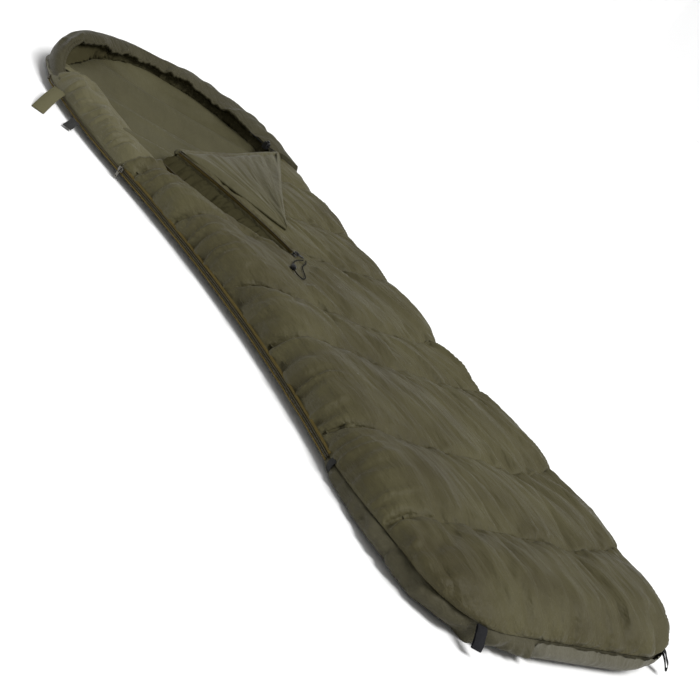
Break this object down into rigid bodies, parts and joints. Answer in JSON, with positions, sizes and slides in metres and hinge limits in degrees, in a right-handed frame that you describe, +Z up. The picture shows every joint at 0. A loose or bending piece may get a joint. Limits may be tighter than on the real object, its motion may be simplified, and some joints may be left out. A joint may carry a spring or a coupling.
{
  "type": "mummy sleeping bag",
  "caption": "Olive quilted mummy sleeping bag lying flat, with hood, side zip, chest zip, folded-back chest flap, hood strap and black webbing foot loops.",
  "frame": {"origin": "middle of the resting face under the bag, half way between foot and hood crown, on the line x = 0 between the zip side and the folded side", "axes": "+X towards the folded side, away from the side zip; +Y towards the hood crown; +Z up out of the floor"},
  "size_m": [0.8995, 2.2318, 0.125],
  "materials": {
    "olive_shell": "satin",
    "fill": "matte",
    "olive_lining": "satin",
    "zip_tape": "matte",
    "zip_coil": "matte",
    "nickel": "polished",
    "black_webbing": "matte",
    "olive_webbing": "matte",
    "hook_and_loop": "matte",
    "grey_webbing": "matte",
    "cord": "matte",
    "black_plastic": "matte",
    "spring_wire": "satin"
  },
  "bodies": {
    "bag": {"bottom_shell": "olive_shell", "top_shell": "olive_shell", "hood_shell": "olive_shell", "foot_panel": "olive_shell", "hood_rim_channel": "olive_shell", "side_zip_end_tab": "olive_shell", "bottom_insulation": "fill", "top_insulation": "fill", "hood_insulation": "fill", "bottom_lining": "olive_lining", "top_lining": "olive_lining", "hood_lining": "olive_lining", "side_draft_tube": "olive_lining", "chest_draft_tube": "olive_lining", "side_zip_tape_lower": "zip_tape", "side_zip_tape_upper": "zip_tape", "chest_zip_tape_left": "zip_tape", "chest_zip_tape_right": "zip_tape", "side_zip_coil_lower": "zip_coil", "side_zip_coil_upper": "zip_coil", "chest_zip_coil_left": "zip_coil", "chest_zip_coil_right": "zip_coil", "side_zip_top_stop": "nickel", "hood_cord": "cord", "cord_lock_body": "black_plastic", "cord_lock_spring": "spring_wire"},
    "side_slider": {"side_slider": "nickel"},
    "side_pull": {"side_pull": "nickel"},
    "chest_slider": {"chest_slider": "nickel"},
    "chest_pull": {"chest_pull": "nickel", "chest_pull_cord": "cord", "chest_toggle": "black_plastic"},
    "chest_flap": {"flap_shell": "olive_shell", "flap_insulation": "fill", "flap_lining": "olive_lining", "flap_hem": "olive_lining", "flap_zip_tape": "zip_tape"},
    "loop_left": {"foot_loop_left": "black_webbing"},
    "loop_right": {"foot_loop_right": "black_webbing"},
    "hood_strap": {"hood_tab": "olive_webbing", "hood_tab_loop_patch": "hook_and_loop", "hood_tab_hook_patch": "hook_and_loop"},
    "small_strap": {"small_tab": "grey_webbing"},
    "lock_plunger": {"cord_lock_plunger": "black_plastic"}
  },
  "joints": [
    {"name": "side_slider_travel", "type": "hinge", "parent": "bag", "child": "side_slider", "pos_m": [-3.13028, -0.165, 0.026], "axis": [0, 0, 1], "range_deg": [-19.6, 0]},
    {"name": "side_pull_swing", "type": "hinge", "parent": "side_slider", "child": "side_pull", "pos_m": [-0.38383, 0.32537, 0.026], "axis": [-0.1758, 0.9844, 0], "range_deg": [0, 150]},
    {"name": "chest_slider_travel", "type": "slide", "parent": "bag", "child": "chest_slider", "axis": [-0.5281, 0.8492, 0], "range_m": [0, 0.34]},
    {"name": "chest_pull_swing", "type": "hinge", "parent": "chest_slider", "child": "chest_pull", "pos_m": [-0.065, 0.04, 0.1064], "axis": [-0.8492, -0.5281, 0], "range_deg": [0, 140]},
    {"name": "flap_fold", "type": "hinge", "parent": "bag", "child": "chest_flap", "pos_m": [-0.23, 0.395, 0.1015], "axis": [-0.8575, -0.5145, 0], "range_deg": [0, 180]},
    {"name": "loop_left_swing", "type": "hinge", "parent": "bag", "child": "loop_left", "pos_m": [-0.32364, -1.09314, 0.046], "axis": [-0.8886, 0.4586, 0], "range_deg": [-50, 70]},
    {"name": "loop_right_swing", "type": "hinge", "parent": "bag", "child": "loop_right", "pos_m": [0.28085, -1.06793, 0.046], "axis": [-0.831, -0.5563, 0], "range_deg": [-50, 70]},
    {"name": "hood_strap_fold", "type": "hinge", "parent": "bag", "child": "hood_strap", "pos_m": [-0.4065, 0.664, 0.031], "axis": [-0.7716, 0.6361, 0], "range_deg": [0, 120]},
    {"name": "small_strap_fold", "type": "hinge", "parent": "bag", "child": "small_strap", "pos_m": [-0.4125, 0.53, 0.02], "axis": [-0.6691, 0.7431, 0], "range_deg": [0, 90]},
    {"name": "lock_press", "type": "slide", "parent": "bag", "child": "lock_plunger", "axis": [0, 0, -1], "range_m": [0, 0.003], "stiffness_N_per_m": 800, "springref_m": -0.002, "deforming": ["cord_lock_spring"]}
  ]
}
